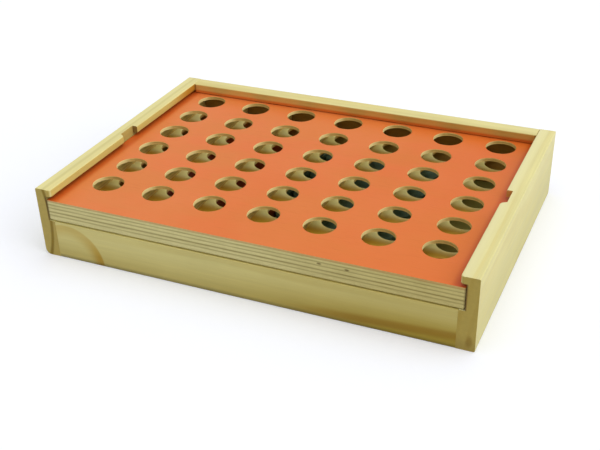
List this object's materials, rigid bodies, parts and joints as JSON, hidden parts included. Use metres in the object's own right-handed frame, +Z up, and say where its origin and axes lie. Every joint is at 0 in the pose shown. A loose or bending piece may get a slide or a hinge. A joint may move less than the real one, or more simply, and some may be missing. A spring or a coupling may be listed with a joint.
{
  "type": "four-in-a-row board game with sliding storage box",
  "caption": "Open-fronted wooden box with a sliding orange board: windows over channels that discs drop into. The board is the box's lid, and stands in its side notches for play.",
  "frame": {"origin": "on the table, under the middle of the box", "axes": "+X to the right along the board's width, +Y from the open front to the back wall, +Z up"},
  "size_m": [0.3012, 0.2092, 0.0506],
  "materials": {
    "side_pine": "sanded, clear sealed",
    "wall_pine": "sanded, clear sealed",
    "front_pine": "sanded, clear sealed",
    "base_plywood": "plain plywood",
    "board_plywood": "sanded birch plywood",
    "orange_plywood": "orange stained plywood, satin",
    "red_disc": "red stained wood, satin",
    "blue_disc": "blue-green stained wood, satin"
  },
  "bodies": {
    "box": {"left_side": "side_pine", "right_side": "side_pine", "back_wall": "wall_pine", "front_panel": "front_pine", "base_panel": "base_plywood", "red_disc_01": "red_disc", "red_disc_02": "red_disc", "red_disc_03": "red_disc", "red_disc_04": "red_disc", "red_disc_05": "red_disc", "red_disc_06": "red_disc", "red_disc_07": "red_disc", "red_disc_08": "red_disc", "red_disc_09": "red_disc", "red_disc_10": "red_disc", "red_disc_11": "red_disc", "red_disc_12": "red_disc", "red_disc_13": "red_disc", "red_disc_14": "red_disc", "red_disc_15": "red_disc", "red_disc_16": "red_disc", "red_disc_17": "red_disc", "red_disc_18": "red_disc", "red_disc_19": "red_disc", "red_disc_20": "red_disc", "red_disc_21": "red_disc", "blue_disc_01": "blue_disc", "blue_disc_02": "blue_disc", "blue_disc_03": "blue_disc", "blue_disc_04": "blue_disc", "blue_disc_05": "blue_disc", "blue_disc_06": "blue_disc", "blue_disc_07": "blue_disc", "blue_disc_08": "blue_disc", "blue_disc_09": "blue_disc", "blue_disc_10": "blue_disc", "blue_disc_11": "blue_disc", "blue_disc_12": "blue_disc", "blue_disc_13": "blue_disc", "blue_disc_14": "blue_disc", "blue_disc_15": "blue_disc", "blue_disc_16": "blue_disc", "blue_disc_17": "blue_disc", "blue_disc_18": "blue_disc", "blue_disc_19": "blue_disc", "blue_disc_20": "blue_disc", "blue_disc_21": "blue_disc"},
    "board": {"rear_panel": "board_plywood", "bottom_rail": "board_plywood", "left_edge_strip": "board_plywood", "right_edge_strip": "board_plywood", "face_panel": "orange_plywood", "divider_01": "board_plywood", "divider_02": "board_plywood", "divider_03": "board_plywood", "divider_04": "board_plywood", "divider_05": "board_plywood", "divider_06": "board_plywood"}
  },
  "joints": [
    {"name": "board_slide", "type": "slide", "parent": "box", "child": "board", "axis": [0, -1, 0], "range_m": [0, 0.2]}
  ]
}
